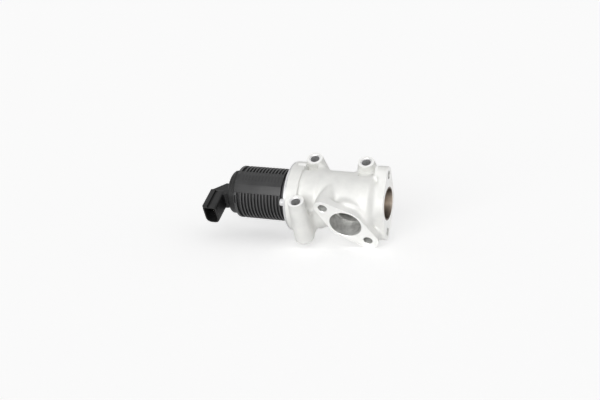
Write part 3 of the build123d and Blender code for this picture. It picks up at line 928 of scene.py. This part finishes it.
# Copies of the piece at even steps round the valve axis
ring_tree, given, out = geometry_tree("copies_on_a_ring", (
    ("Count", "NodeSocketInt"),
    ("Radius", "NodeSocketFloat"),
    ("Place", "NodeSocketVector"),
    ("Material", "NodeSocketMaterial"),
))
places = ring_tree.nodes.new("GeometryNodeMeshCircle")
first_turn = ring_tree.nodes.new("GeometryNodeTransform")
first_turn.inputs["Rotation"].default_value = (0, 0, radians(-90))
stand_up = ring_tree.nodes.new("GeometryNodeTransform")
stand_up.inputs["Rotation"].default_value = (0, radians(90), 0)
copies = ring_tree.nodes.new("GeometryNodeInstanceOnPoints")
real = ring_tree.nodes.new("GeometryNodeRealizeInstances")
coat = ring_tree.nodes.new("GeometryNodeSetMaterial")
link(
    ring_tree,
    (given.outputs["Count"], places.inputs["Vertices"]),
    (given.outputs["Radius"], places.inputs["Radius"]),
    (places.outputs["Mesh"], first_turn.inputs["Geometry"]),
    (first_turn.outputs["Geometry"], stand_up.inputs["Geometry"]),
    (given.outputs["Place"], stand_up.inputs["Translation"]),
    (stand_up.outputs["Geometry"], copies.inputs["Points"]),
    (given.outputs["Geometry"], copies.inputs["Instance"]),
    (copies.outputs["Instances"], real.inputs["Geometry"]),
    (real.outputs["Geometry"], coat.inputs["Geometry"]),
    (given.outputs["Material"], coat.inputs["Material"]),
    (coat.outputs["Geometry"], out.inputs["Geometry"]),
)
blank = bmesh.new()
add_lathe(blank, [
    (-head_height, 0),
    (-head_height, head_r - head_round),
    (-head_height + round_share * head_round, head_r - round_share * head_round),
    (-head_height + head_round, head_r),
    (0, head_r),
    (0, screw_r),
    (shank_end - head_round, screw_r),
    (shank_end, screw_r - head_round),
    (shank_end, 0),
], steps=48)
screws = new_piece("base_plate_screws", blank)
socket_start = valve_dir * (-head_height - overlap) * mm
socket_end = valve_dir * (-head_height + socket_depth) * mm
carve(screws, [bore(socket_start, socket_end, socket_r, bright_steel, steps=6)])
run_tree(
    screws, ring_tree, Count=screw_count, Radius=screw_circle_r * mm,
    Place=(plate_back_x * mm, 0, 0), Material=bright_steel,
)
smooth_faces(screws)
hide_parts("base_screws")
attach(screws, "valve_housing")

# The solenoid's pole, yoke, washer and armature are soft iron, turned and phosphated grey. The
# coil is enamelled wire on a bobbin of natural nylon.
iron = finish(
    "magnet_iron", dark=(0.34, 0.34, 0.35), light=(0.46, 0.46, 0.47), rough=(0.35, 0.55),
    metallic=0.9, grain_size=0.4, blotch_size=8, depth=0.01, pitch=0.6, ring_depth=0.015,
)
nylon = finish(
    "bobbin_plastic", dark=(0.62, 0.58, 0.48), light=(0.70, 0.67, 0.57), rough=(0.4, 0.55),
    metallic=0.0, grain_size=0.5, blotch_size=9, depth=0.01,
)
copper = finish(
    "copper_wire", dark=(0.50, 0.20, 0.09), light=(0.66, 0.31, 0.15), rough=(0.28, 0.4),
    metallic=0.9, grain_size=0.3, blotch_size=5, depth=0.005, pitch=0.55, ring_depth=0.12,
)
for node in ("front_pole", "yoke_tube", "rear_washer", "armature"):
    paint(node, iron)
for node in ("coil_bobbin", "sensor_carrier"):
    paint(node, nylon)
paint("coil_winding", copper)

# The coil housing is moulded in black glass-filled nylon round the solenoid. Thin fins run round
# it, painted paler at their crests as a painted highlight, and behind them a plain band with a
# slot. A smooth spine with two flat faces carries the coil's leads.
black_nylon = {
    "dark": (0.017, 0.017, 0.0175), "light": (0.027, 0.027, 0.0275),
    "metallic": 0.0, "grain_size": 0.28, "blotch_size": 10, "depth": 0.03,
}
spine_black = finish("spine_moulding", rough=(0.34, 0.5), **black_nylon)
# Painted highlight: the fin crests turn paler towards their outer radius.
crest_highlight_start = 24.35
crest_highlight_full = 24.85
crest_highlight_colour = (0.058, 0.058, 0.059)
moulding_sheen = 0.4
moulding = finish("ribbed_moulding", rough=(0.38, 0.55), **black_nylon)
tree = moulding.node_tree
shader = tree.nodes["Principled BSDF"]
shader.inputs["Specular IOR Level"].default_value = moulding_sheen
where = tree.nodes.new("ShaderNodeTexCoord")
crest = tree.nodes.new("ShaderNodeMapRange")
crest.inputs["From Min"].default_value = crest_highlight_start * mm
crest.inputs["From Max"].default_value = crest_highlight_full * mm
painted_crest_highlight = tree.nodes.new("ShaderNodeMix")
painted_crest_highlight.data_type = "RGBA"
painted_crest_highlight.inputs["B"].default_value = (*crest_highlight_colour, 1)
link(
    tree,
    (axis_distance(tree, where), crest.inputs["Value"]),
    (crest.outputs["Result"], painted_crest_highlight.inputs["Factor"]),
    (shader.inputs["Base Color"].links[0].from_socket, painted_crest_highlight.inputs["A"]),
    (painted_crest_highlight.outputs["Result"], shader.inputs["Base Color"]),
)
housing_front = plate_back_x
housing_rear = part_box("coil_housing")[0].x / mm
fin_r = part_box("coil_housing")[1].z / mm
housing_core_r = 22.7
fin_count = 14
fin_width = 1.5
fin_round = 0.42
fin_front_gap = 2.6
fin_root_depth = 1.5
band_width = 3.0
band_round = 0.7
slot_start = 0.8
slot_width = 1.3
slot_depth = 1.4
slot_turns = (4, -5, -15)
slot_over = 2
spine_r = 25.3
spine_turns = (63.0, 29.4, 10.0)
spine_gap = 5.5
spine_round = 0.5
spine_reach = 1.5
yoke_r = 20.4
yoke_length = 45.2
guide_r = 8.12
sensor_room_r = 11.0
sensor_room_depth = 5.8

# Copies of the piece at even steps along the valve axis or across it
row_tree, given, out = geometry_tree("copies_in_a_row", (
    ("Count", "NodeSocketInt"),
    ("Place", "NodeSocketVector"),
    ("Step", "NodeSocketVector"),
    ("Material", "NodeSocketMaterial"),
))
places = row_tree.nodes.new("GeometryNodeMeshLine")
copies = row_tree.nodes.new("GeometryNodeInstanceOnPoints")
real = row_tree.nodes.new("GeometryNodeRealizeInstances")
coat = row_tree.nodes.new("GeometryNodeSetMaterial")
link(
    row_tree,
    (given.outputs["Count"], places.inputs["Count"]),
    (given.outputs["Place"], places.inputs["Start Location"]),
    (given.outputs["Step"], places.inputs["Offset"]),
    (places.outputs["Mesh"], copies.inputs["Points"]),
    (given.outputs["Geometry"], copies.inputs["Instance"]),
    (copies.outputs["Instances"], real.inputs["Geometry"]),
    (real.outputs["Geometry"], coat.inputs["Geometry"]),
    (given.outputs["Material"], coat.inputs["Material"]),
    (coat.outputs["Geometry"], out.inputs["Geometry"]),
)
blank = bmesh.new()
fin_root = housing_core_r - fin_root_depth
add_lathe(blank, [
    (0, fin_root),
    (0, fin_r - fin_round),
    (round_share * fin_round, fin_r - round_share * fin_round),
    (fin_round, fin_r),
    (fin_width - fin_round, fin_r),
    (fin_width - round_share * fin_round, fin_r - round_share * fin_round),
    (fin_width, fin_r - fin_round),
    (fin_width, fin_root),
], steps=192)
fins = new_piece("fins", blank)
first_fin = housing_rear + band_width
last_fin = housing_front - fin_front_gap - fin_width
fin_pitch = (last_fin - first_fin) / fin_count
run_tree(
    fins, row_tree, Count=fin_count, Place=((first_fin + fin_pitch) * mm, 0, 0),
    Step=(fin_pitch * mm, 0, 0), Material=moulding,
)
housing = turned_tool([
    (housing_rear, 0),
    (housing_rear, fin_r - band_round),
    (housing_rear + round_share * band_round, fin_r - round_share * band_round),
    (housing_rear + band_round, fin_r),
    (housing_rear + band_width, fin_r),
    (housing_rear + band_width, housing_core_r),
    (housing_front, housing_core_r),
    (housing_front, 0),
], moulding, steps=192)
housing.name = "moulded_coil_housing"
carve(housing, [fins], "UNION")
spine_edge = [
    Vector((0, -cos(radians(turn)), sin(radians(turn)))) * spine_r * mm for turn in spine_turns
]


def spine_block(corners, front, rear, round_off, material):
    """A block of one section between two places along the valve, with its long edges rounded."""
    shape = bmesh.new()
    ends = [
        [shape.verts.new(corner + valve_dir * x * mm) for corner in corners] for x in (rear, front)
    ]
    shape.faces.new(ends[0])
    shape.faces.new(list(reversed(ends[1])))
    for index in range(len(corners)):
        other = (index + 1) % len(corners)
        shape.faces.new([ends[0][index], ends[1][index], ends[1][other], ends[0][other]])
    if round_off:
        bmesh.ops.bevel(
            shape, geom=list(shape.edges), offset=round_off * mm, segments=3, affect="EDGES",
            profile=0.5,
        )
    made = new_piece("tool", shape)
    made.data.materials.append(material)
    return made


outer_edge = [corner * spine_reach for corner in reversed(spine_edge)]
spine_section = [Vector((0, 0, 0))] + spine_edge
spine_room = spine_block(
    spine_edge + outer_edge, housing_front + overlap, housing_rear - overlap, 0, moulding
)
carve(housing, [spine_room])
spine = spine_block(
    spine_section, housing_front - spine_gap, housing_rear, spine_round, spine_black
)
carve(housing, [spine], "UNION")
slot_rear = housing_rear + slot_start
carve(housing, [
    hull_tool([
        Vector((x, -radius * cos(radians(turn)), radius * sin(radians(turn)))) * mm
        for x in (slot_rear, slot_rear + slot_width)
        for radius in (fin_r - slot_depth, fin_r + slot_over)
        for turn in slot_turns
    ], moulding),
    turned_tool([
        (housing_front + overlap, 0),
        (housing_front + overlap, yoke_r),
        (housing_front - yoke_length, yoke_r),
        (housing_front - yoke_length, guide_r),
        (housing_rear + sensor_room_depth, guide_r),
        (housing_rear + sensor_room_depth, sensor_room_r),
        (housing_rear - overlap, sensor_room_r),
        (housing_rear - overlap, 0),
    ], moulding),
])
smooth_faces(housing)
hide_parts("coil_housing")
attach(housing, "valve_housing")

# The connector cover is one moulding in the same nylon: a round end cap, a neck, and a hood for the
# plug, square above and round below, with a rail and a groove along its top.
# The cover's nylon is painted darker than the housing's, as painted shade.
cover_shaded_black = finish(
    "cover_moulding", dark=(0.008, 0.008, 0.0082), light=(0.014, 0.014, 0.0143), rough=(0.36, 0.52),
    metallic=0.0, grain_size=0.28, blotch_size=10, depth=0.03,
)
cover_sheen = 0.32
shader = cover_shaded_black.node_tree.nodes["Principled BSDF"]
shader.inputs["Specular IOR Level"].default_value = cover_sheen
plug = mounts["plug_socket"]
plug_dir = Vector(plug["axis"]).normalized()
plug_up = valve_dir.cross(plug_dir) * -1
hood_x = plug["pos_m"][0] / mm
hood_end = Vector(plug["pos_m"]).dot(plug_dir) / mm
hood_width = 14.0
hood_height = 20.0
hood_top_round = 2.2
hood_bottom_round = 5.2
hood_wall = 1.5
hood_start = 12.0
hood_depth = 19.0
cap_r = 20.6
cap_offset = 1.4
cap_length = 8.0
cap_round = 1.3
neck_half = 9.2
neck_rear_gap = 7.5
neck_shoulder = 1.5
neck_overlap = 4.0
neck_root = 0.1
neck_rise = 2
rail_gap = 0.2
rail_width = 5.0
rail_height = 1.2
groove_width = 2.2
groove_depth = 0.7
latch_width = 4.5
latch_height = 1.5
latch_length = 4.0
latch_root = 0.5
cover_grid = 0.4 * mm
cover_rounds = 5
cover_fill = 0.7
cover_wear = 0.35
tail_lap = 0.5
tail_length = 2.6
trim_length = 5
trim_half = 40
socket_over = 2
mouth_over = 3
cover_room_r = 11.0
cover_room_depth = 6.4


def plug_point(x, up, distance):
    """A point by its place along the valve, up the hood's section and out along the plug."""
    return Vector((x * mm, 0, 0)) + plug_up * up * mm + plug_dir * distance * mm


def hood_ring(distance, inset, steps=12):
    """The hood's outline at one distance: small upper corners and large lower ones."""
    half_x, half_up = hood_width / 2 - inset, hood_height / 2 - inset
    points = []
    for side_x, side_up, start in ((1, 1, 0), (-1, 1, 90), (-1, -1, 180), (1, -1, 270)):
        corner = (hood_top_round if side_up > 0 else hood_bottom_round) - inset
        for step in range(steps + 1):
            turn = radians(start + 90 * step / steps)
            points.append(plug_point(
                hood_x + side_x * (half_x - corner) + corner * cos(turn),
                side_up * (half_up - corner) + corner * sin(turn),
                distance,
            ))
    return points


def plug_box(x_span, up_span, distance_span):
    """The corners of a block that lies square to the hood."""
    return [
        plug_point(x, up, distance) for x in x_span for up in up_span for distance in distance_span
    ]


cap_shift = plug_dir * cap_offset * mm
cap_rear = housing_rear - cap_length
hood_rear = hood_x - hood_width / 2
hood_front = hood_x + hood_width / 2
cover_shape = bmesh.new()
cap_points = []
for x, radius in (
    (housing_rear, cap_r),
    (cap_rear + cap_round, cap_r),
    (cap_rear, cap_r - cap_round),
):
    cap_points += ring(valve_dir * x * mm + cap_shift, valve_dir, radius * mm, steps=160)
add_hull(cover_shape, cap_points)
neck_points = plug_box(
    (cap_rear + overlap, cap_rear - neck_rear_gap), (-neck_half, neck_half), (0, neck_root)
)
neck_points += [
    plug_point(x, up, distance)
    for up in (-neck_half, neck_half)
    for x, distance in (
        (hood_rear, hood_start - neck_shoulder),
        (hood_rear, hood_start + neck_overlap),
        (hood_front, hood_start + neck_overlap),
        (cap_rear + overlap, hood_start + neck_rise),
    )
]
add_hull(cover_shape, neck_points)
add_hull(cover_shape, hood_ring(hood_start, 0) + hood_ring(hood_end, 0))
rail_rear = hood_rear + rail_gap
top = hood_height / 2
add_hull(cover_shape, plug_box(
    (rail_rear, rail_rear + rail_width),
    (top - overlap, top + rail_height),
    (hood_start, hood_end),
))
add_hull(cover_shape, [
    plug_point(hood_x + side * latch_width / 2, -up, distance)
    for side in (-1, 1)
    for up, distance in (
        (top - latch_root, hood_end),
        (top, hood_end),
        (top + latch_height, hood_end - latch_length),
        (top - latch_root, hood_end - latch_length),
    )
])
cover = new_piece("moulded_connector_cover", cover_shape)
skin_over(cover, cover_grid)
soften(cover, cover_rounds, cover_fill, cover_wear)
cover.data.materials.append(cover_shaded_black)
spine_tail = spine_block(
    spine_section, housing_rear + tail_lap, housing_rear - tail_length, spine_round, cover_shaded_black
)
carve(cover, [spine_tail], "UNION")
joint_trim = [
    valve_dir * (housing_rear + x) * mm + Vector((0, y, z)) * mm
    for x in (0, trim_length)
    for y in (-trim_half, trim_half)
    for z in (-trim_half, trim_half)
]
socket = [
    point
    for distance in (hood_end - hood_depth, hood_end + socket_over)
    for point in hood_ring(distance, hood_wall)
]
mouth_trim = plug_box(
    (hood_rear - mouth_over, hood_front + mouth_over),
    (-top - mouth_over, top + mouth_over + overlap),
    (hood_end, hood_end + mouth_over),
)
groove_rear = rail_rear + rail_width
groove = plug_box(
    (groove_rear, groove_rear + groove_width),
    (top - groove_depth, top + mouth_over),
    (hood_start + overlap, hood_end + overlap),
)
tools = [hull_tool(points, cover_shaded_black) for points in (joint_trim, socket, mouth_trim, groove)]
tools.append(turned_tool([
    (housing_rear + overlap, 0),
    (housing_rear + overlap, cover_room_r),
    (housing_rear - cover_room_depth, cover_room_r),
    (housing_rear - cover_room_depth, 0),
], cover_shaded_black))
carve(cover, tools)
smooth_faces(cover)
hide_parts("connector_cover")
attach(cover, "valve_housing")

# Five tinned blades stand in the hood. They are stamped square, with pointed tips.
pin_count = 5
pin_pitch = 2.6
pin_half = 0.4
pin_tip = 0.8
pin_point = 0.4
pin_root = 3.0
pin_recess = 6.0
pin_start = hood_end - hood_depth - pin_root
pin_end = hood_end - pin_recess
pin_span = (-pin_half, pin_half)
tip_span = (-pin_point * pin_half, pin_point * pin_half)
tin = finish(
    "tinned_pins", dark=(0.60, 0.59, 0.55), light=(0.74, 0.73, 0.69), rough=(0.2, 0.32),
    metallic=1.0, grain_size=0.3, blotch_size=3, depth=0.004,
)
blank = bmesh.new()
add_hull(
    blank,
    plug_box(pin_span, pin_span, (pin_start, pin_end - pin_tip))
    + plug_box(tip_span, tip_span, (pin_end, pin_end)),
)
pins = new_piece("contact_blades", blank)
first_pin = plug_point(hood_x, -pin_pitch * (pin_count - 1) / 2, 0)
run_tree(
    pins, row_tree, Count=pin_count, Place=tuple(first_pin), Step=tuple(plug_up * pin_pitch * mm),
    Material=tin,
)
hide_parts("connector_pins")
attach(pins, "valve_housing")

# Rubber seals lie in their grooves, and the position sensor's printed track stands in the cover.
rubber = finish(
    "seal_rubber", dark=(0.022, 0.022, 0.023), light=(0.032, 0.032, 0.033), rough=(0.55, 0.75),
    metallic=0.0, grain_size=0.4, blotch_size=6, depth=0.02,
)
board = finish(
    "track_board", dark=(0.05, 0.16, 0.09), light=(0.08, 0.22, 0.12), rough=(0.25, 0.4),
    metallic=0.0, grain_size=0.6, blotch_size=4, depth=0.01,
)
for node in ("base_seal", "cover_seal"):
    paint(node, rubber)
paint("sensor_track", board)
